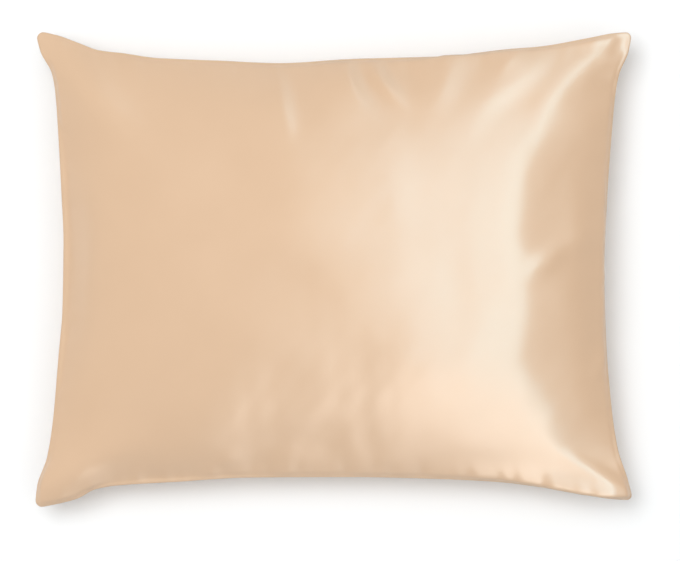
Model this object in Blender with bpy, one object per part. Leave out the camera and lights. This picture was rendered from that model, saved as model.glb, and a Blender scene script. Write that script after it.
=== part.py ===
"""A filled satin pillowcase that lies on its back, in metres, with +Z up.

Two equal panels are sewn together round all four sides and a pillow fills them. The filling
draws the sides in between the four corners, which stay out as pointed ears. +X runs along the
long side and +Y along the short side. The origin is the centre of the footprint, on the surface
that the case lies on.
"""

import math
from typing import NamedTuple

import bmesh
import bpy
from mathutils import Vector

# The case as it lies, seam to seam at its corners, and how far it stands up.
HALF_LENGTH = 0.3225
HALF_WIDTH = 0.2570
CROWN_RISE = 0.0900
UNDERSIDE_DEPTH = 0.0980
SEAM_LEVEL = 0.0600
SEAM_THICKNESS = 0.0030

# The seam runs level along the sides and sinks by this much at the corners.
CORNER_DROOP = 0.0180

# How the filling rounds the panels: powers of the swelling from the seam to the middle.
ROUNDING = 2.15
SWELL_POWER = 0.56

# The underside turns flat on the surface over this much height.
CONTACT_BLEND = 0.0030

# How soon the folds of the upper panel reach their full height, going in from the seam.
FOLD_ONSET = 3.0

# The mesh: quads along each side of a panel, and how much closer they are at the seam.
COLUMNS = 50
ROWS = 40
EDGE_CROWDING = 0.45

SATIN_COLOUR = (0.80, 0.59, 0.42, 1.0)
SATIN_ROUGHNESS = 0.38


class Corner(NamedTuple):
    """A sewn corner: how far it sits in from the nominal corner, and the radius of its tip."""

    inset_x: float
    inset_y: float
    tip_radius: float


class Station(NamedTuple):
    """A place along a side, measured from its first corner, and how far the seam is drawn in there."""

    run: float
    draw_in: float


class Fold(NamedTuple):
    """A ridge (height above 0) or a trough (below 0) on the upper panel, from start to end.

    The fold bows to the left of its way by bow, and is highest at share peak of its length.
    """

    start: tuple[float, float]
    end: tuple[float, float]
    bow: float
    height: float
    half_width: float
    peak: float


BACK_LEFT = Corner(0.0012, 0.0000, 0.0080)
BACK_RIGHT = Corner(0.0008, 0.0006, 0.0055)
FRONT_LEFT = Corner(0.0000, 0.0000, 0.0075)
FRONT_RIGHT = Corner(0.0000, 0.0080, 0.0050)

# The long sides are measured from the left, the short sides from the back.
BACK_SIDE = (
    Station(0.020, 0.0036),
    Station(0.045, 0.0125),
    Station(0.067, 0.0205),
    Station(0.095, 0.0240),
    Station(0.130, 0.0290),
    Station(0.200, 0.0320),
    Station(0.262, 0.0345),
    Station(0.340, 0.0300),
    Station(0.440, 0.0268),
    Station(0.510, 0.0190),
    Station(0.545, 0.0160),
    Station(0.600, 0.0060),
    Station(0.625, 0.0012),
)
FRONT_SIDE = (
    Station(0.020, 0.0030),
    Station(0.045, 0.0092),
    Station(0.065, 0.0192),
    Station(0.090, 0.0232),
    Station(0.150, 0.0262),
    Station(0.230, 0.0300),
    Station(0.340, 0.0292),
    Station(0.430, 0.0262),
    Station(0.500, 0.0218),
    Station(0.550, 0.0148),
    Station(0.600, 0.0052),
    Station(0.625, 0.0012),
)
LEFT_SIDE = (
    Station(0.020, 0.0042),
    Station(0.045, 0.0172),
    Station(0.065, 0.0210),
    Station(0.110, 0.0245),
    Station(0.170, 0.0280),
    Station(0.230, 0.0306),
    Station(0.300, 0.0296),
    Station(0.350, 0.0255),
    Station(0.420, 0.0195),
    Station(0.460, 0.0130),
    Station(0.492, 0.0020),
)
RIGHT_SIDE = (
    Station(0.020, 0.0030),
    Station(0.045, 0.0135),
    Station(0.065, 0.0175),
    Station(0.110, 0.0220),
    Station(0.170, 0.0265),
    Station(0.260, 0.0302),
    Station(0.330, 0.0285),
    Station(0.400, 0.0232),
    Station(0.450, 0.0158),
    Station(0.485, 0.0044),
)

# Ridges that run in from the corners, the shoulders, then the creases and puckers of the upper panel.
FOLDS = (
    Fold((-0.318, 0.252), (-0.205, 0.120), 0.006, 0.0070, 0.016, 0.30),
    Fold((0.318, 0.250), (0.205, 0.130), -0.016, 0.0095, 0.013, 0.30),
    Fold((-0.318, -0.250), (-0.200, -0.165), -0.006, 0.0065, 0.016, 0.30),
    Fold((0.318, -0.240), (0.200, -0.140), 0.014, 0.0085, 0.013, 0.30),
    Fold((0.245, 0.236), (0.140, 0.145), -0.003, 0.0050, 0.011, 0.40),
    Fold((0.262, 0.190), (0.262, -0.185), -0.075, 0.0040, 0.024, 0.50),
    Fold((-0.262, 0.180), (-0.262, -0.180), 0.020, 0.0030, 0.026, 0.50),
    Fold((-0.058, 0.212), (-0.044, 0.125), 0.000, 0.0032, 0.010, 0.35),
    Fold((0.011, 0.222), (0.026, 0.165), 0.000, 0.0034, 0.010, 0.35),
    Fold((0.040, 0.219), (0.080, 0.158), 0.000, 0.0030, 0.010, 0.35),
    Fold((0.293, 0.052), (0.205, -0.002), -0.004, -0.0045, 0.011, 0.45),
    Fold((0.295, -0.085), (0.255, -0.145), 0.000, 0.0034, 0.010, 0.45),
    Fold((-0.255, -0.200), (-0.075, -0.208), 0.006, -0.0055, 0.014, 0.50),
    Fold((-0.112, -0.222), (-0.104, -0.172), 0.000, -0.0042, 0.010, 0.30),
    Fold((-0.026, -0.222), (-0.016, -0.168), 0.000, 0.0038, 0.010, 0.30),
    Fold((0.030, -0.220), (0.038, -0.165), 0.000, -0.0036, 0.010, 0.30),
    Fold((0.112, -0.220), (0.112, -0.172), 0.000, -0.0034, 0.010, 0.30),
    Fold((0.168, -0.216), (0.160, -0.172), 0.000, -0.0030, 0.010, 0.30),
    Fold((-0.300, 0.150), (-0.230, 0.060), 0.000, 0.0030, 0.012, 0.35),
)


def drawn_in(stations: tuple[Station, ...], run: float, length: float) -> float:
    """Returns the draw-in at a run along a side of this length, smooth between its stations."""
    rows = [Station(0.0, 0.0), *stations, Station(length, 0.0)]
    slopes = [0.0]
    for before, here, after in zip(rows, rows[1:], rows[2:]):
        slope_in = (here.draw_in - before.draw_in) / (here.run - before.run)
        slope_out = (after.draw_in - here.draw_in) / (after.run - here.run)
        # The harmonic mean of the two slopes keeps the curve from overshooting a station.
        turns = slope_in * slope_out <= 0
        slopes.append(0.0 if turns else 2 * slope_in * slope_out / (slope_in + slope_out))
    slopes.append(0.0)
    i = 0
    while run > rows[i + 1].run and i < len(rows) - 2:
        i += 1
    before, after = rows[i], rows[i + 1]
    gap = after.run - before.run
    t = (run - before.run) / gap
    return (
        before.draw_in * (1 + 2 * t) * (1 - t) ** 2
        + after.draw_in * t * t * (3 - 2 * t)
        + gap * t * (1 - t) * (slopes[i] * (1 - t) - slopes[i + 1] * t)
    )


def tip_relief(distance: float, radius: float) -> float:
    """Returns how far the round tip of a corner cuts in, at a distance along the side from it."""
    if distance >= radius:
        return 0.0
    return radius - math.sqrt(radius**2 - (radius - distance) ** 2)


def seam_course(
    stations: tuple[Station, ...], nominal: float, ends: tuple[Corner, Corner], share: float
) -> tuple[float, float]:
    """Returns the seam at a share of a side from corner to corner.

    The ends' inset_x is taken along the side and their inset_y inwards. The first value returned
    is the distance from the nominal corner along the side, the second the distance inwards.
    """
    first, last = ends
    length = nominal - first.inset_x - last.inset_x
    # Two sides meet at the middle of a corner's round tip.
    meeting = 1 - math.sqrt(0.5)
    low = meeting * first.tip_radius
    high = length - meeting * last.tip_radius
    run = low + (high - low) * share
    inwards = first.inset_y + (last.inset_y - first.inset_y) * share
    inwards += drawn_in(stations, run, length)
    inwards += tip_relief(run, first.tip_radius) + tip_relief(length - run, last.tip_radius)
    return first.inset_x + run, inwards


def turned(corner: Corner) -> Corner:
    """Returns the corner as a short side sees it, with its two insets exchanged."""
    return Corner(corner.inset_y, corner.inset_x, corner.tip_radius)


def back_seam(share: float) -> Vector:
    """Returns the seam's place at a share of the back side, from the left."""
    run, inwards = seam_course(BACK_SIDE, 2 * HALF_LENGTH, (BACK_LEFT, BACK_RIGHT), share)
    return Vector((run - HALF_LENGTH, HALF_WIDTH - inwards))


def front_seam(share: float) -> Vector:
    """Returns the seam's place at a share of the front side, from the left."""
    run, inwards = seam_course(FRONT_SIDE, 2 * HALF_LENGTH, (FRONT_LEFT, FRONT_RIGHT), share)
    return Vector((run - HALF_LENGTH, inwards - HALF_WIDTH))


def left_seam(share: float) -> Vector:
    """Returns the seam's place at a share of the left side, from the back."""
    ends = (turned(BACK_LEFT), turned(FRONT_LEFT))
    run, inwards = seam_course(LEFT_SIDE, 2 * HALF_WIDTH, ends, share)
    return Vector((inwards - HALF_LENGTH, HALF_WIDTH - run))


def right_seam(share: float) -> Vector:
    """Returns the seam's place at a share of the right side, from the back."""
    ends = (turned(BACK_RIGHT), turned(FRONT_RIGHT))
    run, inwards = seam_course(RIGHT_SIDE, 2 * HALF_WIDTH, ends, share)
    return Vector((HALF_LENGTH - inwards, HALF_WIDTH - run))


def in_plan(a: float, b: float) -> Vector:
    """Returns the plan position of panel point (a, b), each from -1 to 1, blended from the four sides."""
    s = (1 + a) / 2
    t = (1 - b) / 2
    lengthwise = back_seam(s) * (1 - t) + front_seam(s) * t
    crosswise = left_seam(t) * (1 - s) + right_seam(t) * s
    back_corners = back_seam(0) * (1 - s) + back_seam(1) * s
    front_corners = front_seam(0) * (1 - s) + front_seam(1) * s
    return lengthwise + crosswise - back_corners * (1 - t) - front_corners * t


def swelling(a: float, b: float) -> float:
    """Returns how far the filling lifts a panel at (a, b): 0 on the seam, 1 in the middle."""
    return ((1 - abs(a) ** ROUNDING) * (1 - abs(b) ** ROUNDING)) ** SWELL_POWER


def seam_level(a: float, b: float) -> float:
    """Returns the height of the seam line, carried across the panel, at (a, b)."""
    return SEAM_LEVEL - CORNER_DROOP * (a * b) ** 4


def fold_height(fold: Fold, place: Vector) -> float:
    """Returns the height that one fold adds at a plan position."""
    start = Vector(fold.start)
    way = Vector(fold.end) - start
    share = (place - start).dot(way) / way.length_squared
    if not 0 < share < 1:
        return 0.0
    across = way.cross(place - start) / way.length - fold.bow * math.sin(math.pi * share)
    rise = math.sin(math.pi * share ** (math.log(0.5) / math.log(fold.peak))) ** 2
    return fold.height * rise * math.exp(-((across / fold.half_width) ** 2))


def upper_place(a: float, b: float) -> Vector:
    """Returns where panel point (a, b) lies on the upper panel."""
    place = in_plan(a, b)
    swell = swelling(a, b)
    height = seam_level(a, b) + SEAM_THICKNESS / 2 + CROWN_RISE * swell
    # The folds die out at the seam itself.
    height += min(1.0, FOLD_ONSET * swell) * sum(fold_height(fold, place) for fold in FOLDS)
    return Vector((place.x, place.y, height))


def lower_place(a: float, b: float) -> Vector:
    """Returns where panel point (a, b) lies on the underside, flat where it rests."""
    place = in_plan(a, b)
    height = seam_level(a, b) - SEAM_THICKNESS / 2 - UNDERSIDE_DEPTH * swelling(a, b)
    if height < -CONTACT_BLEND:
        height = 0.0
    elif height < CONTACT_BLEND:
        height = (height + CONTACT_BLEND) ** 2 / (4 * CONTACT_BLEND)
    return Vector((place.x, place.y, height))


def crowded(t: float) -> float:
    """Returns grid coordinate t, from -1 to 1, moved so that the points crowd towards the seam."""
    return (1 - EDGE_CROWDING) * t + EDGE_CROWDING * math.sin(math.pi * t / 2)


def add_panel(bm: bmesh.types.BMesh) -> list[bmesh.types.BMVert]:
    """Adds a flat square grid for one panel and returns its vertices."""
    return bmesh.ops.create_grid(bm, x_segments=COLUMNS, y_segments=ROWS, size=1.0)["verts"]


def open_edges(verts: list[bmesh.types.BMVert]) -> list[bmesh.types.BMEdge]:
    """Returns the edges round a panel."""
    return [edge for edge in {e for v in verts for e in v.link_edges} if edge.is_boundary]


def build_case_mesh() -> bpy.types.Mesh:
    """Returns the filled case: two panels, shaped and joined by the rim of the seam."""
    bm = bmesh.new()
    upper = add_panel(bm)
    lower = add_panel(bm)
    bmesh.ops.reverse_faces(bm, faces=list({face for vert in lower for face in vert.link_faces}))
    for panel, place in ((upper, upper_place), (lower, lower_place)):
        for vert in panel:
            vert.co = place(crowded(vert.co.x), crowded(vert.co.y))
    bmesh.ops.bridge_loops(bm, edges=open_edges(upper) + open_edges(lower))
    bmesh.ops.recalc_face_normals(bm, faces=bm.faces)
    xs = [vert.co.x for vert in bm.verts]
    ys = [vert.co.y for vert in bm.verts]
    centre = Vector(((min(xs) + max(xs)) / 2, (min(ys) + max(ys)) / 2, 0.0))
    bmesh.ops.translate(bm, verts=bm.verts, vec=-centre)
    mesh = bpy.data.meshes.new("pillowcase")
    bm.to_mesh(mesh)
    bm.free()
    mesh.shade_smooth()
    return mesh


def satin() -> bpy.types.Material:
    """Returns the pale peach satin of the case."""
    material = bpy.data.materials.new("satin")
    material.use_nodes = True
    shader = material.node_tree.nodes["Principled BSDF"]
    shader.inputs["Base Color"].default_value = SATIN_COLOUR
    shader.inputs["Roughness"].default_value = SATIN_ROUGHNESS
    shader.inputs["Metallic"].default_value = 0.0
    return material


def clear_scene() -> None:
    """Removes every object of the open scene."""
    for obj in list(bpy.data.objects):
        bpy.data.objects.remove(obj)


def main() -> None:
    """Builds the pillowcase in a collection of its own."""
    clear_scene()
    collection = bpy.data.collections.new("pillowcase")
    bpy.context.scene.collection.children.link(collection)
    mesh = build_case_mesh()
    mesh.materials.append(satin())
    collection.objects.link(bpy.data.objects.new("pillowcase", mesh))


main()
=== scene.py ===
"""The looks of a filled satin pillowcase that lies on its back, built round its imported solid.

Two panels of satin, cut 660 by 508 mm, are sewn together round all four sides and filled. The
filling draws the sides in between the corners, which stay out as ears. +X runs along the long
side, +Y towards the back of the case and +Z up out of its front panel. All sizes are in metres.
"""

import logging
import math
from dataclasses import dataclass, field
from enum import Enum
from typing import NamedTuple

import bmesh
import bpy
import numpy as np
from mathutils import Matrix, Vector


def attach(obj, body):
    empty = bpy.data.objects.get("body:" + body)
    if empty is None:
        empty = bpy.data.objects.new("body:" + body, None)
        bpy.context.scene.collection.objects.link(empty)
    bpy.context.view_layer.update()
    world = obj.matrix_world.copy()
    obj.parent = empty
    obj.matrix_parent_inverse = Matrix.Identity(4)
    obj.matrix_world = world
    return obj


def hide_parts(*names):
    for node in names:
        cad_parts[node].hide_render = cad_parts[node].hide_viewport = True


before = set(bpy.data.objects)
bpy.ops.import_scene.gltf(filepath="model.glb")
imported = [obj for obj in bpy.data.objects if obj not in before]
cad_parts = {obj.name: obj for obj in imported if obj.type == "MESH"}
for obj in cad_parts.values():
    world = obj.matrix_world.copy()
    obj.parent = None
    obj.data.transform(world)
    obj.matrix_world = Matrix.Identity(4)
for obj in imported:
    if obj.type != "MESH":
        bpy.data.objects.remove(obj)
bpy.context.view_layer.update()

log = logging.getLogger("pillowcase")

MILLIMETRES = 1000.0
# keeps a division by a distance of 0 finite
TINY = 1e-9


class Panel(Enum):
    """The two cut pieces of the case."""

    FRONT = 1
    BACK = -1


class Corner(NamedTuple):
    """A sewn corner: how far it sits in from the nominal corner, and the radius of its tip."""

    inset_x: float
    inset_y: float
    tip_radius: float

    def turned(self) -> "Corner":
        """Returns the corner as an end of its short side, with the two insets swapped."""
        return Corner(self.inset_y, self.inset_x, self.tip_radius)


class Station(NamedTuple):
    """A place along a side, from its first corner, and how far the seam is drawn in there."""

    run: float
    draw_in: float


class Crease(NamedTuple):
    """A soft ridge of the front panel, or a trough where its height is below 0.

    It runs through the places (x, y) of its course, fades towards both ends and is highest at the
    share peak of its length. A long one reaches its height there, and a short one stays lower. The
    flanks on the left and the right of its course spread by widths of their own: that far out, a
    flank still has 0.6 of the height.
    """

    course: tuple[tuple[float, float], ...]
    height: float
    left: float
    right: float
    peak: float = 0.5


@dataclass(frozen=True)
class SeamLine:
    """The seam seen from above: four sides drawn in between round-tipped corners."""

    half_length: float = 0.3225
    half_width: float = 0.2570
    back_left: Corner = Corner(0.0012, 0.0000, 0.0080)
    back_right: Corner = Corner(0.0008, 0.0006, 0.0055)
    front_left: Corner = Corner(0.0000, 0.0000, 0.0075)
    front_right: Corner = Corner(0.0000, 0.0080, 0.0050)
    back_side: tuple[Station, ...] = (
        Station(0.020, 0.0036),
        Station(0.045, 0.0125),
        Station(0.067, 0.0205),
        Station(0.095, 0.0240),
        Station(0.130, 0.0290),
        Station(0.200, 0.0320),
        Station(0.262, 0.0345),
        Station(0.340, 0.0300),
        Station(0.440, 0.0268),
        Station(0.510, 0.0190),
        Station(0.545, 0.0160),
        Station(0.600, 0.0060),
        Station(0.625, 0.0012),
    )
    front_side: tuple[Station, ...] = (
        Station(0.020, 0.0030),
        Station(0.045, 0.0092),
        Station(0.065, 0.0192),
        Station(0.090, 0.0232),
        Station(0.150, 0.0262),
        Station(0.230, 0.0300),
        Station(0.340, 0.0292),
        Station(0.430, 0.0262),
        Station(0.500, 0.0218),
        Station(0.550, 0.0148),
        Station(0.600, 0.0052),
        Station(0.625, 0.0012),
    )
    left_side: tuple[Station, ...] = (
        Station(0.020, 0.0042),
        Station(0.045, 0.0172),
        Station(0.065, 0.0210),
        Station(0.110, 0.0245),
        Station(0.170, 0.0280),
        Station(0.230, 0.0306),
        Station(0.300, 0.0296),
        Station(0.350, 0.0255),
        Station(0.420, 0.0195),
        Station(0.460, 0.0130),
        Station(0.492, 0.0020),
    )
    right_side: tuple[Station, ...] = (
        Station(0.020, 0.0030),
        Station(0.045, 0.0135),
        Station(0.065, 0.0175),
        Station(0.110, 0.0220),
        Station(0.170, 0.0265),
        Station(0.260, 0.0302),
        Station(0.330, 0.0285),
        Station(0.400, 0.0232),
        Station(0.450, 0.0158),
        Station(0.485, 0.0044),
    )

    @staticmethod
    def drawn_in(stations: tuple[Station, ...], run: np.ndarray, length: float) -> np.ndarray:
        """Returns the draw-in at runs along a side.

        Args:
            stations: The places where the side's draw-in is known.
            run: Distances along the side from its first corner.
            length: The side's whole length.

        Returns:
            The draw-in at each run, smooth between the stations and without overshoot.
        """
        at = np.array([0.0, *(s.run for s in stations), length])
        depth = np.array([0.0, *(s.draw_in for s in stations), 0.0])
        gaps = np.diff(at)
        rises = np.diff(depth) / gaps
        product = rises[:-1] * rises[1:]
        total = rises[:-1] + rises[1:]
        inner = np.where(product > 0, 2 * product / np.where(total == 0, 1, total), 0.0)
        slopes = np.array([0.0, *inner, 0.0])
        i = np.clip(np.searchsorted(at, run) - 1, 0, len(gaps) - 1)
        t = (run - at[i]) / gaps[i]
        bend = slopes[i] * (1 - t) - slopes[i + 1] * t
        ends = depth[i] * (1 + 2 * t) * (1 - t) ** 2 + depth[i + 1] * t * t * (3 - 2 * t)
        return ends + gaps[i] * t * (1 - t) * bend

    @staticmethod
    def tip_relief(distance: np.ndarray, radius: float) -> np.ndarray:
        """Returns how far a corner's round tip cuts in at distances along the side from it."""
        reach = np.clip(radius - distance, 0.0, radius)
        return radius - np.sqrt(radius**2 - reach**2)

    def course(
        self,
        stations: tuple[Station, ...],
        nominal: float,
        ends: tuple[Corner, Corner],
        share: np.ndarray,
    ) -> tuple[np.ndarray, np.ndarray]:
        """Returns the seam at shares of one side.

        Args:
            stations: The places where the side's draw-in is known.
            nominal: The side's length between the nominal corners.
            ends: Its corners, with inset_x along the side and inset_y inwards.
            share: Shares of the way from corner to corner.

        Returns:
            Distances from the nominal corner along the side, and distances inwards.
        """
        first, last = ends
        length = nominal - first.inset_x - last.inset_x
        meeting = 1 - math.sqrt(0.5)
        low = meeting * first.tip_radius
        high = length - meeting * last.tip_radius
        run = low + (high - low) * share
        inwards = first.inset_y + (last.inset_y - first.inset_y) * share
        inwards = inwards + self.drawn_in(stations, run, length)
        inwards = inwards + self.tip_relief(run, first.tip_radius)
        inwards = inwards + self.tip_relief(length - run, last.tip_radius)
        return first.inset_x + run, inwards

    def back(self, share: np.ndarray) -> np.ndarray:
        """Returns places on the back side.

        Args:
            share: Shares of the way from the left corner to the right one.

        Returns:
            An array of (x, y).
        """
        ends = (self.back_left, self.back_right)
        run, inwards = self.course(self.back_side, 2 * self.half_length, ends, share)
        return np.stack([run - self.half_length, self.half_width - inwards], -1)

    def front(self, share: np.ndarray) -> np.ndarray:
        """Returns places on the front side.

        Args:
            share: Shares of the way from the left corner to the right one.

        Returns:
            An array of (x, y).
        """
        ends = (self.front_left, self.front_right)
        run, inwards = self.course(self.front_side, 2 * self.half_length, ends, share)
        return np.stack([run - self.half_length, inwards - self.half_width], -1)

    def left(self, share: np.ndarray) -> np.ndarray:
        """Returns places on the left side.

        Args:
            share: Shares of the way from the back corner to the front one.

        Returns:
            An array of (x, y).
        """
        ends = (self.back_left.turned(), self.front_left.turned())
        run, inwards = self.course(self.left_side, 2 * self.half_width, ends, share)
        return np.stack([inwards - self.half_length, self.half_width - run], -1)

    def right(self, share: np.ndarray) -> np.ndarray:
        """Returns places on the right side.

        Args:
            share: Shares of the way from the back corner to the front one.

        Returns:
            An array of (x, y).
        """
        ends = (self.back_right.turned(), self.front_right.turned())
        run, inwards = self.course(self.right_side, 2 * self.half_width, ends, share)
        return np.stack([self.half_length - inwards, self.half_width - run], -1)

    def plan(self, a: np.ndarray, b: np.ndarray) -> np.ndarray:
        """Returns the plan positions of panel points (a, b), blended from the four sides.

        Args:
            a: Places along the length, from -1 at the left seam to 1 at the right.
            b: Places across the width, from -1 at the front seam to 1 at the back.

        Returns:
            An array of (x, y).
        """
        s = ((1 + a) / 2)[:, None]
        t = ((1 - b) / 2)[:, None]
        ends = np.array([0.0, 1.0])
        back_corners = self.back(ends)
        front_corners = self.front(ends)
        lengthwise = self.back(s[:, 0]) * (1 - t) + self.front(s[:, 0]) * t
        crosswise = self.left(t[:, 0]) * (1 - s) + self.right(t[:, 0]) * s
        corners = (back_corners[0] * (1 - s) + back_corners[1] * s) * (1 - t)
        corners = corners + (front_corners[0] * (1 - s) + front_corners[1] * s) * t
        return lengthwise + crosswise - corners


@dataclass(frozen=True)
class FlatCut:
    """The rectangle that each panel is cut to, between its seams."""

    length: float = 0.660
    width: float = 0.508

    def places(self, a: np.ndarray, b: np.ndarray) -> np.ndarray:
        """Returns where panel points (a, b) lie on the cut cloth, as (x, y) in metres."""
        return np.column_stack([a * self.length / 2, b * self.width / 2])

    def margins(self, a: np.ndarray, b: np.ndarray) -> tuple[np.ndarray, np.ndarray]:
        """Returns how far panel points (a, b) lie from the nearer short seam and long seam."""
        return (1 - np.abs(a)) * self.length / 2, (1 - np.abs(b)) * self.width / 2

    def free(self, a: np.ndarray, b: np.ndarray, reach: float) -> np.ndarray:
        """Returns how free of the seam panel points (a, b) are, from 0 on it to 1 beyond reach."""
        ends, sides = self.margins(a, b)
        return (1 - np.exp(-((ends / reach) ** 2))) * (1 - np.exp(-((sides / reach) ** 2)))


@dataclass(frozen=True)
class Filling:
    """How the filling holds the panels up: the crown, the underside and the level of the seam."""

    crown_rise: float = 0.0810
    underside_depth: float = 0.0980
    seam_level: float = 0.0600
    corner_droop: float = 0.0100
    length_rounding: float = 2.8
    width_rounding: float = 2.3
    crown_fullness: float = 0.85
    underside_fullness: float = 0.56
    ear_thinning: float = 0.5
    ear_power: int = 10
    droop_power: int = 4
    contact_blend: float = 0.0030

    def swelling(self, a: np.ndarray, b: np.ndarray, fullness: float) -> np.ndarray:
        """Returns how far the filling lifts a panel.

        Args:
            a: Places along the length, from -1 to 1.
            b: Places across the width, from -1 to 1.
            fullness: The power of the profile. The lower it is, the fuller the panel is by the seam.

        Returns:
            The lift at (a, b): 0 on the seam, 1 in the middle.
        """
        across = np.clip(1 - np.abs(a) ** self.length_rounding, 0, 1)
        along = np.clip(1 - np.abs(b) ** self.width_rounding, 0, 1)
        ears = 1 - self.ear_thinning * np.abs(a * b) ** self.ear_power
        return ears * (across * along) ** fullness

    def seam_height(self, a: np.ndarray, b: np.ndarray) -> np.ndarray:
        """Returns the height of the seam, carried across the panels, at (a, b)."""
        return self.seam_level - self.corner_droop * (a * b) ** self.droop_power

    def crown(self, a: np.ndarray, b: np.ndarray) -> np.ndarray:
        """Returns the heights of the front panel at (a, b)."""
        return self.seam_height(a, b) + self.crown_rise * self.swelling(a, b, self.crown_fullness)

    def underside(self, a: np.ndarray, b: np.ndarray) -> np.ndarray:
        """Returns the heights of the back panel, flat where it rests.

        Args:
            a: Places along the length, from -1 to 1.
            b: Places across the width, from -1 to 1.

        Returns:
            The height at each (a, b), eased onto the floor over contact_blend.
        """
        lift = self.underside_depth * self.swelling(a, b, self.underside_fullness)
        free = self.seam_height(a, b) - lift
        blend = self.contact_blend
        near = (np.clip(free + blend, 0, 2 * blend)) ** 2 / (4 * blend)
        return np.where(free < blend, near, free)


@dataclass(frozen=True)
class SatinWeave:
    """The node group of a satin weave: long floats along the cloth, with slubs and an uneven dye."""

    name: str = "satin_weave"
    slub_share: float = 0.35
    detail: float = 2.0

    def group(self) -> bpy.types.NodeTree:
        """Makes the node group, on its first use only.

        Returns:
            The node group. It puts out the relief of the threads, the slubs and the dye.
        """
        known = bpy.data.node_groups.get(self.name)
        if known:
            return known
        tree = bpy.data.node_groups.new(self.name, "ShaderNodeTree")
        plug = tree.interface.new_socket
        plug("Cloth", in_out="INPUT", socket_type="NodeSocketVector")
        for name in ("Thread Width", "Float Length", "Slub Width", "Slub Length", "Dye Patch"):
            plug(name, in_out="INPUT", socket_type="NodeSocketFloat")
        for name in ("Relief", "Slub", "Dye"):
            plug(name, in_out="OUTPUT", socket_type="NodeSocketFloat")
        inside = tree.nodes.new("NodeGroupInput").outputs
        outside = tree.nodes.new("NodeGroupOutput").inputs
        threads = self.streaks(tree, inside["Cloth"], inside["Float Length"], inside["Thread Width"])
        slubs = self.streaks(tree, inside["Cloth"], inside["Slub Length"], inside["Slub Width"])
        dye = self.streaks(tree, inside["Cloth"], inside["Dye Patch"], inside["Dye Patch"])
        relief = tree.nodes.new("ShaderNodeMix")
        relief.inputs["Factor"].default_value = self.slub_share
        tree.links.new(threads, relief.inputs["A"])
        tree.links.new(slubs, relief.inputs["B"])
        tree.links.new(relief.outputs["Result"], outside["Relief"])
        tree.links.new(slubs, outside["Slub"])
        tree.links.new(dye, outside["Dye"])
        return tree

    def streaks(
        self,
        tree: bpy.types.NodeTree,
        cloth: bpy.types.NodeSocket,
        length: bpy.types.NodeSocket,
        width: bpy.types.NodeSocket,
    ) -> bpy.types.NodeSocket:
        """Adds noise that is drawn out along the cloth.

        Args:
            tree: The node group that it is made in.
            cloth: The place on the cut cloth, in metres.
            length: How long a streak is, in metres.
            width: How wide a streak is, in metres.

        Returns:
            The output socket of the noise, from 0 to 1.
        """
        size = tree.nodes.new("ShaderNodeCombineXYZ")
        tree.links.new(length, size.inputs["X"])
        tree.links.new(width, size.inputs["Y"])
        size.inputs["Z"].default_value = 1.0
        scaled = tree.nodes.new("ShaderNodeVectorMath")
        scaled.operation = "DIVIDE"
        tree.links.new(cloth, scaled.inputs[0])
        tree.links.new(size.outputs["Vector"], scaled.inputs[1])
        noise = tree.nodes.new("ShaderNodeTexNoise")
        noise.inputs["Scale"].default_value = 1.0
        noise.inputs["Detail"].default_value = self.detail
        tree.links.new(scaled.outputs["Vector"], noise.inputs["Vector"])
        return noise.outputs["Fac"]


@dataclass(frozen=True)
class SatinFinish:
    """The pale peach satin: its floats mirror the light along the cloth and spread it across."""

    cloth_map: str = "cut_cloth"
    weave: SatinWeave = SatinWeave()
    pale: tuple[float, float, float, float] = (0.682, 0.477, 0.318, 1.0)
    deep: tuple[float, float, float, float] = (0.650, 0.450, 0.296, 1.0)
    polished: float = 0.31
    dull: float = 0.35
    anisotropy: float = 0.85
    across: float = 0.25
    ior: float = 1.5
    thread_width: float = 0.0004
    float_length: float = 0.0060
    slub_width: float = 0.0011
    slub_length: float = 0.0300
    dye_patch: float = 0.0600
    relief: float = 0.00002

    def material(self) -> bpy.types.Material:
        """Makes the satin.

        Returns:
            The material, which reads the UV map cloth_map.
        """
        made = bpy.data.materials.new("peach_satin")
        made.use_nodes = True
        tree = made.node_tree
        shader = tree.nodes["Principled BSDF"]
        cloth = tree.nodes.new("ShaderNodeUVMap")
        cloth.uv_map = self.cloth_map
        weave = tree.nodes.new("ShaderNodeGroup")
        weave.node_tree = self.weave.group()
        tree.links.new(cloth.outputs["UV"], weave.inputs["Cloth"])
        weave.inputs["Thread Width"].default_value = self.thread_width
        weave.inputs["Float Length"].default_value = self.float_length
        weave.inputs["Slub Width"].default_value = self.slub_width
        weave.inputs["Slub Length"].default_value = self.slub_length
        weave.inputs["Dye Patch"].default_value = self.dye_patch
        dyed = tree.nodes.new("ShaderNodeMix")
        dyed.data_type = "RGBA"
        dyed.inputs["A"].default_value = self.deep
        dyed.inputs["B"].default_value = self.pale
        tree.links.new(weave.outputs["Dye"], dyed.inputs["Factor"])
        tree.links.new(dyed.outputs["Result"], shader.inputs["Base Color"])
        polish = tree.nodes.new("ShaderNodeMapRange")
        polish.inputs["To Min"].default_value = self.polished
        polish.inputs["To Max"].default_value = self.dull
        tree.links.new(weave.outputs["Slub"], polish.inputs["Value"])
        tree.links.new(polish.outputs["Result"], shader.inputs["Roughness"])
        bump = tree.nodes.new("ShaderNodeBump")
        bump.inputs["Strength"].default_value = 1.0
        bump.inputs["Distance"].default_value = self.relief
        tree.links.new(weave.outputs["Relief"], bump.inputs["Height"])
        tree.links.new(bump.outputs["Normal"], shader.inputs["Normal"])
        floats = tree.nodes.new("ShaderNodeTangent")
        floats.direction_type = "UV_MAP"
        floats.uv_map = self.cloth_map
        tree.links.new(floats.outputs["Tangent"], shader.inputs["Tangent"])
        shader.inputs["Anisotropic"].default_value = self.anisotropy
        shader.inputs["Anisotropic Rotation"].default_value = self.across
        shader.inputs["IOR"].default_value = self.ior
        return made


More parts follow.
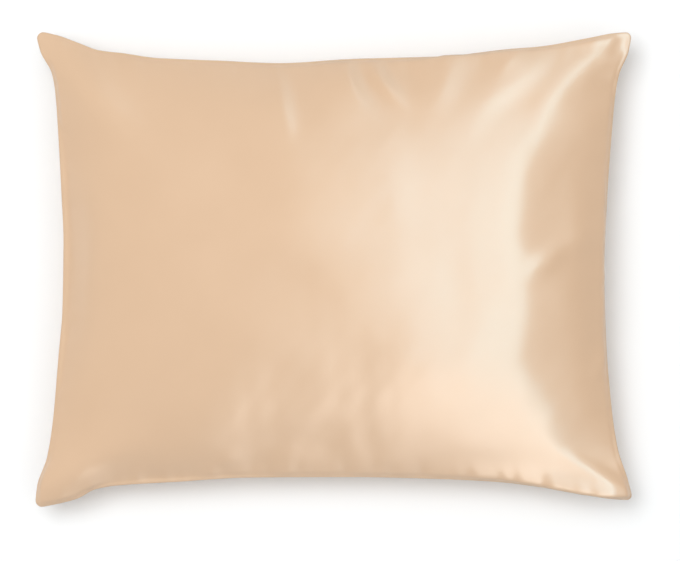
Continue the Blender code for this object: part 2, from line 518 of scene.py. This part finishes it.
@dataclass(frozen=True)
class Creases:
    """The main creases of the front panel.

    A crease is a sum of soft dabs, one at each of the samples of its course. Along the course a dab
    spreads by end_softness of the mean flank, or by least_overlap steps where that is more. Places
    farther from the box of a course than cutoff times the widest spread are passed over.
    """

    samples: int = 48
    end_softness: float = 0.5
    least_overlap: float = 1.2
    cutoff: float = 4.0
    # the shoulder that the sheen ends at, from the back right corner to the front right one
    shoulder: tuple[Crease, ...] = (
        Crease(((0.285, 0.225), (0.235, 0.190), (0.208, 0.155), (0.206, 0.115), (0.200, 0.070),
                (0.199, 0.010), (0.213, -0.050), (0.211, -0.092), (0.191, -0.130), (0.242, -0.182),
                (0.300, -0.228)),
               height=0.0035, left=0.025, right=0.022),
        Crease(((0.268, 0.218), (0.230, 0.170), (0.216, 0.110)),
               height=0.0022, left=0.030, right=0.012),
    )
    # the back right corner: two ridges, the trough between them, and fine lines at the seam
    back_right_corner: tuple[Crease, ...] = (
        Crease(((0.322, 0.253), (0.292, 0.241), (0.260, 0.208), (0.212, 0.171), (0.202, 0.140)),
               height=0.0050, left=0.013, right=0.016, peak=0.35),
        Crease(((0.248, 0.262), (0.223, 0.232), (0.204, 0.209), (0.163, 0.182), (0.142, 0.150),
                (0.136, 0.120)),
               height=0.0045, left=0.011, right=0.020, peak=0.4),
        Crease(((0.250, 0.234), (0.190, 0.190), (0.172, 0.155)),
               height=-0.0016, left=0.012, right=0.012),
        Crease(((0.200, 0.238), (0.190, 0.226), (0.170, 0.205)),
               height=0.0020, left=0.005, right=0.020, peak=0.4),
        Crease(((0.322, 0.256), (0.298, 0.252), (0.270, 0.246), (0.242, 0.240)),
               height=0.0020, left=0.005, right=0.004),
        Crease(((0.325, 0.250), (0.305, 0.240), (0.290, 0.234)),
               height=-0.0016, left=0.005, right=0.005),
    )
    # short creases that hang from the back seam
    back_seam: tuple[Crease, ...] = (
        Crease(((-0.066, 0.230), (-0.057, 0.180), (-0.047, 0.125)),
               height=0.0050, left=0.008, right=0.045),
        Crease(((0.010, 0.230), (0.014, 0.205), (0.024, 0.183), (0.045, 0.155)),
               height=0.0060, left=0.008, right=0.040, peak=0.35),
        Crease(((0.040, 0.228), (0.045, 0.208), (0.060, 0.190), (0.085, 0.165)),
               height=0.0040, left=0.007, right=0.005, peak=0.35),
        Crease(((0.072, 0.230), (0.088, 0.205), (0.102, 0.188)),
               height=-0.0015, left=0.006, right=0.010, peak=0.4),
        Crease(((0.148, 0.255), (0.130, 0.228), (0.117, 0.203), (0.102, 0.182), (0.078, 0.167)),
               height=0.0050, left=0.012, right=0.028, peak=0.4),
        # the flat margin of the back seam
        Crease(((0.030, 0.225), (0.090, 0.228), (0.150, 0.233), (0.215, 0.239)),
               height=0.0035, left=0.004, right=0.012),
    )
    # low swells under the soft edge of the sheen
    sheen_edge: tuple[Crease, ...] = (
        Crease(((-0.035, 0.110), (-0.025, 0.060), (0.000, 0.010), (0.046, -0.060), (0.090, -0.100),
                (0.128, -0.135), (0.158, -0.190)),
               height=0.0022, left=0.045, right=0.022),
        Crease(((0.045, 0.000), (0.060, -0.035), (0.085, -0.085)),
               height=-0.0025, left=0.030, right=0.030),
        Crease(((0.085, -0.085), (0.120, -0.125), (0.142, -0.175)),
               height=0.0012, left=0.045, right=0.016),
        Crease(((0.108, -0.105), (0.122, -0.130), (0.135, -0.150)),
               height=-0.0012, left=0.014, right=0.014),
    )
    # the front right corner, with the pocket of its seam
    front_right_corner: tuple[Crease, ...] = (
        Crease(((0.218, -0.174), (0.245, -0.200), (0.282, -0.222), (0.318, -0.240), (0.375, -0.268)),
               height=0.0060, left=0.006, right=0.045),
        Crease(((0.220, -0.162), (0.255, -0.197), (0.295, -0.222), (0.345, -0.247)),
               height=0.0030, left=0.006, right=0.010, peak=0.6),
        Crease(((0.280, -0.236), (0.302, -0.240), (0.322, -0.246)),
               height=0.0015, left=0.005, right=0.005),
    )
    # short creases that stand on the front seam
    front_seam: tuple[Crease, ...] = (
        Crease(((-0.112, -0.222), (-0.112, -0.206), (-0.116, -0.192)),
               height=0.0010, left=0.008, right=0.010),
        Crease(((-0.073, -0.225), (-0.082, -0.206), (-0.088, -0.190)),
               height=-0.0018, left=0.012, right=0.016),
        Crease(((0.045, -0.232), (0.020, -0.195), (0.002, -0.145)),
               height=0.0012, left=0.014, right=0.012),
        Crease(((0.054, -0.222), (0.060, -0.203), (0.068, -0.188)),
               height=0.0010, left=0.012, right=0.020),
        # the flat margin of the front seam
        Crease(((-0.020, -0.218), (0.085, -0.221), (0.165, -0.225), (0.235, -0.233), (0.375, -0.257)),
               height=0.0065, left=0.009, right=0.004, peak=0.7),
    )
    # the left corners, and the valley beside the front one
    left_corners: tuple[Crease, ...] = (
        Crease(((-0.305, 0.240), (-0.285, 0.228), (-0.256, 0.180), (-0.160, 0.090)),
               height=0.0090, left=0.016, right=0.018, peak=0.35),
        Crease(((-0.350, -0.240), (-0.296, -0.230), (-0.250, -0.198), (-0.165, -0.165)),
               height=0.0100, left=0.016, right=0.016, peak=0.35),
        Crease(((-0.275, -0.240), (-0.210, -0.238), (-0.165, -0.233), (-0.110, -0.213)),
               height=-0.0034, left=0.018, right=0.012),
    )
    # what branches from the shoulder to the right seam
    branches: tuple[Crease, ...] = (
        Crease(((0.250, 0.024), (0.225, 0.010), (0.197, -0.012)),
               height=0.0022, left=0.009, right=0.009),
        Crease(((0.286, 0.052), (0.265, 0.033), (0.238, 0.020), (0.205, 0.006)),
               height=0.0018, left=0.012, right=0.008),
        Crease(((0.302, -0.082), (0.274, -0.122)), height=0.0022, left=0.006, right=0.006),
    )
    # the hollow along the left seam, and the seam's own rim
    left_seam: tuple[Crease, ...] = (
        Crease(((-0.288, 0.200), (-0.282, 0.050), (-0.284, -0.060), (-0.292, -0.190)),
               height=-0.0042, left=0.014, right=0.045),
        Crease(((-0.285, 0.205), (-0.302, 0.100), (-0.310, 0.000), (-0.303, -0.100), (-0.292, -0.190)),
               height=-0.0045, left=0.010, right=0.008),
    )
    # steps of the sheen, where the cloth turns a little
    sheen_steps: tuple[Crease, ...] = (
        Crease(((-0.020, 0.200), (-0.010, 0.100), (-0.065, 0.025), (-0.045, -0.030)),
               height=0.0065, left=0.034, right=0.045),
        Crease(((0.050, 0.195), (0.058, 0.095), (0.060, 0.000), (0.020, -0.045)),
               height=0.0028, left=0.020, right=0.045),
        Crease(((0.170, 0.130), (0.150, 0.060), (0.152, 0.000), (0.156, -0.060), (0.130, -0.130)),
               height=0.0018, left=0.045, right=0.012),
    )
    # the hollow behind the front seam
    front_hollow: tuple[Crease, ...] = (
        Crease(((-0.155, -0.155), (-0.115, -0.182), (-0.040, -0.185), (0.075, -0.190)),
               height=-0.0028, left=0.020, right=0.015),
    )
    # the swell of the right side, and the rim of its seam
    right_side: tuple[Crease, ...] = (
        Crease(((0.256, 0.155), (0.274, 0.075), (0.260, -0.010), (0.284, -0.145)),
               height=0.0045, left=0.045, right=0.022),
        Crease(((0.308, 0.170), (0.296, 0.080), (0.294, -0.040), (0.303, -0.160)),
               height=0.0020, left=0.006, right=0.010),
    )

    def placed(self) -> tuple[Crease, ...]:
        """Gathers the creases of all groups.

        Returns:
            The creases.
        """
        groups = (
            self.shoulder,
            self.back_right_corner,
            self.back_seam,
            self.sheen_edge,
            self.front_right_corner,
            self.front_seam,
            self.left_corners,
            self.branches,
            self.left_seam,
            self.sheen_steps,
            self.front_hollow,
            self.right_side,
        )
        return tuple(crease for group in groups for crease in group)

    def smooth(self, course: tuple[tuple[float, float], ...]) -> np.ndarray:
        """Draws a smooth curve through the places of a course.

        Args:
            course: The places (x, y).

        Returns:
            An array of (x, y), samples long.
        """
        knots = np.array(course)
        knots = np.vstack([2 * knots[0] - knots[1], knots, 2 * knots[-1] - knots[-2]])
        spans = len(course) - 1
        at = np.linspace(0, spans, self.samples)
        i = np.minimum(at.astype(int), spans - 1)
        t = (at - i)[:, None]
        before, start, end, after = (knots[i + k] for k in range(4))
        linear = end - before
        square = 2 * before - 5 * start + 4 * end - after
        cube = 3 * (start - end) + after - before
        return start + (linear * t + square * t**2 + cube * t**3) / 2

    def lift(self, crease: Crease, places: np.ndarray) -> np.ndarray:
        """Returns how far a crease lifts the cloth at places on the front panel.

        Args:
            crease: The crease.
            places: An array of (x, y).

        Returns:
            The lift along the cloth's normal, in metres.
        """
        line = self.smooth(crease.course)
        ways = np.gradient(line, axis=0)
        steps = np.linalg.norm(ways, axis=1)
        ways /= steps[:, None]
        run = np.cumsum(steps) - steps / 2
        share = run / (run[-1] + steps[-1] / 2)
        rise = np.sin(math.pi * share ** (math.log(0.5) / math.log(crease.peak))) ** 2
        width = (crease.left + crease.right) / 2
        spread = max(width * self.end_softness, self.least_overlap * steps.mean())
        reach = self.cutoff * max(crease.left, crease.right, spread)
        near = np.all((places > line.min(axis=0) - reach) & (places < line.max(axis=0) + reach), axis=1)
        offset = places[near][:, None, :] - line[None]
        along = offset[..., 0] * ways[:, 0] + offset[..., 1] * ways[:, 1]
        across = offset[..., 1] * ways[:, 0] - offset[..., 0] * ways[:, 1]
        flank = np.where(across > 0, crease.left, crease.right)
        dabs = np.exp(-((along / spread) ** 2 + (across / flank) ** 2) / 2)
        found = np.zeros(len(places))
        found[near] = dabs @ (rise * steps) * crease.height / (spread * math.sqrt(2 * math.pi))
        return found

    def total(self, places: np.ndarray) -> np.ndarray:
        """Returns how far all creases together lift the cloth at places on the front panel."""
        return sum(self.lift(crease, places) for crease in self.placed())


class Wave(NamedTuple):
    """One part of a ripple: its length, its height and where it starts."""

    length: float
    height: float
    phase: float


@dataclass(frozen=True)
class Puckers:
    """The small puckers that the stitching draws in the cloth beside the seam."""

    reach: float = 0.016
    side_turn: float = 0.7
    panel_turn: float = 0.4
    waves: tuple[Wave, ...] = (
        Wave(length=0.017, height=0.00016, phase=0.3),
        Wave(length=0.027, height=0.00026, phase=1.9),
        Wave(length=0.043, height=0.00036, phase=4.0),
    )

    def lift(self, cut: FlatCut, panel: np.ndarray, a: np.ndarray, b: np.ndarray) -> np.ndarray:
        """Returns how far the puckers lift panel points.

        Args:
            cut: The flat cut of the panels.
            panel: The panel of each point, 1 at the front and -1 at the back.
            a: Places along the length, from -1 to 1.
            b: Places across the width, from -1 to 1.

        Returns:
            The lift along the cloth's normal, in metres.
        """
        ends, sides = cut.margins(a, b)
        x, y = cut.places(a, b).T
        total = np.zeros(len(a))
        for gap, run, side in ((ends, y, np.sign(a)), (sides, x, np.sign(b))):
            near = np.exp(-((gap / self.reach) ** 2))
            for wave in self.waves:
                turn = wave.phase * (1 + self.side_turn * side + self.panel_turn * panel)
                total += near * wave.height * np.sin(2 * math.pi * run / wave.length + turn)
        return total


@dataclass(frozen=True)
class Lumps:
    """The slight unevenness of the filling under the cloth, or of the cloth itself."""

    seed: int = 11
    waves: int = 14
    shortest: float = 0.075
    longest: float = 0.240
    height: float = 0.0006

    def lift(self, places: np.ndarray) -> np.ndarray:
        """Returns how far the lumps lift the cloth.

        Args:
            places: An array of (x, y).

        Returns:
            The lift along the cloth's normal, in metres.
        """
        draw = np.random.default_rng(self.seed)
        total = np.zeros(len(places))
        for _ in range(self.waves):
            turn, start = draw.uniform(0, 2 * math.pi, 2)
            length = draw.uniform(self.shortest, self.longest)
            way = np.array([math.cos(turn), math.sin(turn)]) * 2 * math.pi / length
            total += np.sin(places[:, :2] @ way + start)
        return total * self.height * math.sqrt(2 / self.waves)


@dataclass(frozen=True)
class Settling:
    """The cloth simulation, in which the cut panels settle over the filling."""

    frames: int = 20
    pressure: float = 20.0
    tension: float = 60.0
    compression: float = 40.0
    shear: float = 12.0
    bending: float = 3.0
    vertex_mass: float = 0.05
    air_damping: float = 4.0
    substeps: int = 8
    cap: float = 0.008

    def run(self, case: bpy.types.Object, cut: np.ndarray, held: np.ndarray) -> None:
        """Settles a case, and leaves no modifier on it.

        Args:
            case: The sewn case.
            cut: Where each point lies on the cut cloth, which gives the cloth its lengths.
            held: How firmly each point is held, from 0 to 1.
        """
        mesh = case.data
        count = len(mesh.vertices)
        start = np.empty(count * 3, dtype=np.float32)
        mesh.vertices.foreach_get("co", start)
        case.shape_key_add(name="filled")
        lengths = case.shape_key_add(name="cut")
        lengths.data.foreach_set("co", cut.astype(np.float32).ravel())
        group = case.vertex_groups.new(name="held")
        for weight in np.unique(held):
            group.add(np.flatnonzero(held == weight).tolist(), float(weight), "REPLACE")
        modifier = case.modifiers.new("settling", "CLOTH")
        cloth = modifier.settings
        cloth.quality = self.substeps
        cloth.mass = self.vertex_mass
        cloth.air_damping = self.air_damping
        cloth.tension_stiffness = self.tension
        cloth.compression_stiffness = self.compression
        cloth.shear_stiffness = self.shear
        cloth.bending_stiffness = self.bending
        cloth.use_pressure = True
        cloth.uniform_pressure_force = self.pressure
        cloth.effector_weights.gravity = 0.0
        cloth.rest_shape_key = lengths
        cloth.vertex_group_mass = group.name
        modifier.collision_settings.use_collision = False
        modifier.point_cache.frame_start = 1
        modifier.point_cache.frame_end = self.frames
        scene = bpy.context.scene
        for moment in range(1, self.frames + 1):
            scene.frame_set(moment)
        settled = case.evaluated_get(bpy.context.evaluated_depsgraph_get())
        end = np.empty(count * 3, dtype=np.float32)
        settled.data.vertices.foreach_get("co", end)
        case.modifiers.remove(modifier)
        case.shape_key_clear()
        case.vertex_groups.clear()
        scene.frame_set(1)
        start = start.reshape(-1, 3)
        moved = end.reshape(-1, 3) - start
        far = np.linalg.norm(moved, axis=1)
        most, usual = far.max() * MILLIMETRES, far.mean() * MILLIMETRES
        log.info("settling moved points by up to %.1f mm, %.1f mm on average", most, usual)
        moved *= (self.cap * np.tanh(far / self.cap) / np.maximum(far, TINY))[:, None]
        mesh.vertices.foreach_set("co", (start + moved).ravel())
        mesh.update()


@dataclass
class Pillowcase:
    """The filled case: two panels of satin joined along the seam.

    lumps are the filling's, and slack is the fine unevenness of the cloth itself. A place past
    on_seam is on the seam. Points whose panel is within seam_share of 0, halfway between the two,
    get the seam's bead. A point lower than at_rest lies on the floor and stays there.
    """

    seam: SeamLine = field(default_factory=SeamLine)
    filling: Filling = field(default_factory=Filling)
    cut: FlatCut = field(default_factory=FlatCut)
    settling: Settling = field(default_factory=Settling)
    creases: Creases = field(default_factory=Creases)
    puckers: Puckers = field(default_factory=Puckers)
    lumps: Lumps = field(default_factory=Lumps)
    slack: Lumps = field(
        default_factory=lambda: Lumps(
            seed=5,
            waves=24,
            shortest=0.022,
            longest=0.060,
            height=0.00005,
        )
    )
    finish: SatinFinish = field(default_factory=SatinFinish)
    columns: int = 124
    rows: int = 98
    edge_crowding: float = 0.25
    seam_thickness: float = 0.0020
    seam_bead: float = 0.0006
    lip: float = 0.0035
    on_seam: float = 0.9999
    seam_share: float = 0.5
    at_rest: float = 0.0005

    def crowded(self, t: np.ndarray) -> np.ndarray:
        """Returns grid coordinates t, from -1 to 1, moved so that they crowd towards the seam."""
        return (1 - self.edge_crowding) * t + self.edge_crowding * np.sin(math.pi * t / 2)

    def spots(self, mesh: bpy.types.Mesh) -> tuple[np.ndarray, np.ndarray, np.ndarray]:
        """Returns the panel of each point of a mesh, and its place (a, b) on that panel."""
        along, across, panel = (self.values(mesh, name) for name in ("along", "across", "panel"))
        return panel, self.crowded(along), self.crowded(across)

    def shape(self, mesh: bpy.types.Mesh) -> np.ndarray:
        """Returns where the points of a mesh lie on the filled case, before its creases.

        Args:
            mesh: A mesh whose points are marked with their panel and place.

        Returns:
            An array of (x, y, z).
        """
        panel, a, b = self.spots(mesh)
        plan = self.seam.plan(a, b)
        rim = self.seam.plan(np.array([-1.0, -1.0, 1.0, 1.0]), np.array([-1.0, 1.0, -1.0, 1.0]))
        seam = self.filling.seam_height(a, b)
        free = self.cut.free(a, b, self.lip)
        front = seam + (self.filling.crown(a, b) - seam) * free
        back = seam + (self.filling.underside(a, b) - seam) * free
        heights = np.where(panel > 0, front, back) + panel * self.seam_thickness / 2
        middle = (rim.min(axis=0) + rim.max(axis=0)) / 2
        return np.column_stack([plan - middle, np.maximum(heights, 0.0)])

    def sewn(self) -> bpy.types.Object:
        """Joins two panel grids along the seam.

        Returns:
            The case, not filled yet, with each point marked with its panel and place.
        """
        bm = bmesh.new()
        layers = [bm.verts.layers.float.new(name) for name in ("along", "across", "panel")]
        for panel in Panel:
            made = bmesh.ops.create_grid(bm, x_segments=self.columns, y_segments=self.rows, size=1.0)
            for vert in made["verts"]:
                for layer, value in zip(layers, (vert.co.x, vert.co.y, float(panel.value))):
                    vert[layer] = value
                vert.co.z = panel.value
        bmesh.ops.bridge_loops(bm, edges=[e for e in bm.edges if e.is_boundary])
        bmesh.ops.recalc_face_normals(bm, faces=bm.faces)
        mesh = bpy.data.meshes.new("satin_pillowcase")
        bm.to_mesh(mesh)
        bm.free()
        mesh.shade_smooth()
        case = bpy.data.objects.new("satin_pillowcase", mesh)
        bpy.context.scene.collection.objects.link(case)
        return case

    def build(self) -> bpy.types.Object:
        """Builds the finished case, riding on its body and standing for its solid.

        The cloth settles on the coarse grids. How far that moves each point is then added to the
        exact shape of the finer mesh.

        Returns:
            The case.
        """
        case = self.sewn()
        self.place(case.data, self.shape(case.data))
        start = self.finer(case)
        settled = np.zeros((len(start.vertices), 3))
        self.settle(case)
        settled = self.vectors(self.finer(case).vertices, "co") - self.vectors(start.vertices, "co")
        case.data = start
        start.name = case.name
        self.place(start, self.shape(start) + settled)
        self.dress(start)
        self.unfold(start)
        start.materials.append(self.finish.material())
        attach(case, "root")
        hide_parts("pillowcase")
        return case

    def settle(self, case: bpy.types.Object) -> None:
        """Lets the cloth settle, held at the seam and where it rests.

        Args:
            case: The sewn case, in its filled shape.
        """
        panel, a, b = self.spots(case.data)
        heights = self.vectors(case.data.vertices, "co")[:, 2]
        sewn = (np.abs(a) > self.on_seam) | (np.abs(b) > self.on_seam)
        held = np.where(sewn | (heights < self.at_rest), 1.0, 0.0)
        cut = np.column_stack([self.cut.places(a, b), panel * self.seam_thickness / 2])
        self.settling.run(case, cut, held)

    @staticmethod
    def finer(case: bpy.types.Object) -> bpy.types.Mesh:
        """Subdivides a case's mesh once.

        Args:
            case: The case, which keeps its own mesh.

        Returns:
            The finer mesh.
        """
        modifier = case.modifiers.new("finer", "SUBSURF")
        modifier.levels = modifier.render_levels = 1
        evaluated = case.evaluated_get(bpy.context.evaluated_depsgraph_get())
        made = bpy.data.meshes.new_from_object(evaluated)
        case.modifiers.remove(modifier)
        return made

    def dress(self, mesh: bpy.types.Mesh) -> None:
        """Adds the creases, the puckers, the lumps, the slack and the bead of the seam.

        Args:
            mesh: The mesh of the settled case, which is changed.
        """
        panel, a, b = self.spots(mesh)
        places = self.vectors(mesh.vertices, "co")
        normals = self.vectors(mesh.vertex_normals, "vector")
        plan = self.shape(mesh)[:, :2]
        free = self.cut.free(a, b, self.lip)
        creases = np.where(panel > self.seam_share, self.creases.total(plan), 0.0)
        puckers = self.puckers.lift(self.cut, panel, a, b)
        lift = free * (creases + (puckers + self.lumps.lift(plan) + self.slack.lift(plan)))
        lift += np.where(np.abs(panel) < self.seam_share, self.seam_bead, 0.0)
        places += normals * np.where(places[:, 2] > self.at_rest, lift, 0.0)[:, None]
        places[:, 2] = np.maximum(places[:, 2], 0.0)
        self.place(mesh, places)

    def unfold(self, mesh: bpy.types.Mesh) -> None:
        """Adds the UV map that says where each point lies on the cut cloth, in metres.

        Args:
            mesh: The mesh of the case, which is changed.
        """
        _, a, b = self.spots(mesh)
        corners = np.empty(len(mesh.loops), dtype=np.int32)
        mesh.loops.foreach_get("vertex_index", corners)
        places = self.cut.places(a, b)[corners]
        layer = mesh.uv_layers.new(name=self.finish.cloth_map)
        layer.uv.foreach_set("vector", places.astype(np.float32).ravel())

    @staticmethod
    def place(mesh: bpy.types.Mesh, places: np.ndarray) -> None:
        """Moves the points of a mesh to places."""
        mesh.vertices.foreach_set("co", places.astype(np.float32).ravel())
        mesh.update()

    @staticmethod
    def vectors(items: bpy.types.bpy_prop_collection, name: str) -> np.ndarray:
        """Reads a vector property of each item.

        Args:
            items: The items.
            name: The property's name.

        Returns:
            An array with a row for each item.
        """
        found = np.empty(len(items) * 3, dtype=np.float32)
        items.foreach_get(name, found)
        return found.reshape(-1, 3).astype(float)

    @staticmethod
    def values(mesh: bpy.types.Mesh, name: str) -> np.ndarray:
        """Reads a float attribute of a mesh's points.

        Args:
            mesh: The mesh.
            name: The attribute's name.

        Returns:
            An array with a value for each point.
        """
        data = mesh.attributes[name].data
        found = np.empty(len(data), dtype=np.float32)
        data.foreach_get("value", found)
        return found.astype(float)


class Use(Enum):
    """What a light is for."""

    SHEEN = "only the sheen of the satin"
    SHADE = "only the shading and the shadows"


@dataclass(frozen=True)
class Softbox:
    """A flat, even light that hangs over the floor and faces a point on or just above it."""

    name: str
    use: Use
    place: tuple[float, float, float]
    size: tuple[float, float]
    radiance: float
    colour: tuple[float, float, float] = (1.0, 1.0, 1.0)
    faces: tuple[float, float, float] = (0.0, 0.0, 0.1)
    watts_per_radiance: float = 4.0

    def build(self) -> bpy.types.Object:
        """Adds the light to the scene.

        Returns:
            The light.
        """
        data = bpy.data.lights.new(self.name, "AREA")
        data.shape = "RECTANGLE"
        data.size, data.size_y = self.size
        data.energy = self.radiance * self.watts_per_radiance * self.size[0] * self.size[1]
        data.color = self.colour
        light = bpy.data.objects.new(self.name, data)
        light.location = self.place
        way = Vector(self.faces) - Vector(self.place)
        light.rotation_euler = way.to_track_quat("-Z", "Y").to_euler()
        light.visible_camera = False
        light.visible_diffuse = self.use is Use.SHADE
        light.visible_glossy = self.use is Use.SHEEN
        bpy.context.scene.collection.objects.link(light)
        return light


@dataclass(frozen=True)
class Studio:
    """A pale floor in a white room, soft lights, and a camera straight above the case.

    The camera sees picture_width pixels of the size pixel at the height of the seam.
    """

    picture_width: int = 680
    pixel: float = 0.00108
    picture_centre: tuple[float, float] = (0.0065, -0.0119)
    seam_height: float = 0.060
    focal_length: float = 180.0
    sensor: float = 36.0
    room: float = 0.49
    floor_reach: float = 6.0
    floor_roughness: float = 0.9
    floor_shade: tuple[float, float, float, float] = (0.905, 0.930, 0.950, 1.0)
    softboxes: tuple[Softbox, ...] = (
        Softbox(
            "sheen_wide", Use.SHEEN, place=(1.75, 0.7, 2.40), size=(4.0, 5.4), radiance=1.5,
            colour=(0.66, 0.88, 1.00), faces=(1.75, 0.7, 0.0),
        ),
        Softbox(
            "sheen_middle", Use.SHEEN, place=(1.28, 0.7, 2.39), size=(1.65, 5.4), radiance=3.3,
            colour=(0.40, 0.74, 1.00), faces=(1.28, 0.7, 0.0),
        ),
        Softbox(
            "sheen_strip", Use.SHEEN, place=(1.62, 0.7, 2.38), size=(0.95, 5.4), radiance=2.4,
            colour=(0.30, 0.79, 1.00), faces=(1.62, 0.7, 0.0),
        ),
        Softbox(
            "sheen_front", Use.SHEEN, place=(0.90, -2.9, 2.40), size=(1.8, 1.8), radiance=11.0,
            colour=(1.00, 0.90, 0.80), faces=(0.90, -2.9, 0.0),
        ),
        Softbox(
            "ceiling", Use.SHADE, place=(0.0, 0.0, 4.4), size=(8.0, 8.0), radiance=0.28,
            colour=(1.00, 0.98, 0.94),
        ),
        Softbox(
            "shade_softbox", Use.SHADE, place=(-1.08, 0.88, 4.4), size=(2.4, 2.4), radiance=4.45,
        ),
        Softbox(
            "fill_softbox", Use.SHADE, place=(1.8, 0.0, 4.4), size=(3.0, 3.0), radiance=0.48,
            colour=(1.00, 0.93, 0.84),
        ),
    )

    def floor(self) -> bpy.types.Object:
        """Adds the floor to the scene.

        Returns:
            The floor.
        """
        bm = bmesh.new()
        bmesh.ops.create_grid(bm, x_segments=1, y_segments=1, size=self.floor_reach)
        mesh = bpy.data.meshes.new("floor")
        bm.to_mesh(mesh)
        bm.free()
        material = bpy.data.materials.new("pale_floor")
        material.use_nodes = True
        shader = material.node_tree.nodes["Principled BSDF"]
        shader.inputs["Base Color"].default_value = self.floor_shade
        shader.inputs["Roughness"].default_value = self.floor_roughness
        shader.inputs["Specular IOR Level"].default_value = 0.0
        mesh.materials.append(material)
        floor = bpy.data.objects.new("floor", mesh)
        bpy.context.scene.collection.objects.link(floor)
        return floor

    def surroundings(self) -> bpy.types.World:
        """Puts the scene in a white room.

        Returns:
            The room's world.
        """
        world = bpy.data.worlds.new("white_room")
        bpy.context.scene.world = world
        world.use_nodes = True
        background = world.node_tree.nodes["Background"]
        background.inputs["Color"].default_value = (1.0, 1.0, 1.0, 1.0)
        background.inputs["Strength"].default_value = self.room
        return world

    def camera(self) -> bpy.types.Object:
        """Adds the camera, straight above the case.

        Returns:
            The camera, at the distance that gives the seam its size in the picture.
        """
        data = bpy.data.cameras.new("camera")
        data.sensor_width = self.sensor
        data.lens = self.focal_length
        camera = bpy.data.objects.new("camera", data)
        width = self.picture_width * self.pixel
        height = self.seam_height + width * self.focal_length / self.sensor
        camera.location = (*self.picture_centre, height)
        bpy.context.scene.collection.objects.link(camera)
        bpy.context.scene.camera = camera
        return camera

    def build(self) -> None:
        """Sets the stage."""
        self.floor()
        self.surroundings()
        for softbox in self.softboxes:
            softbox.build()
        self.camera()
        bpy.context.scene.view_settings.view_transform = "Standard"


def main() -> None:
    """Builds the pillowcase and its studio, and logs how many faces the case has."""
    logging.basicConfig(level=logging.INFO, format="%(message)s")
    case = Pillowcase().build()
    log.info("%s: %d faces", case.name, len(case.data.polygons))
    Studio().build()


if __name__ == "__main__":
    main()
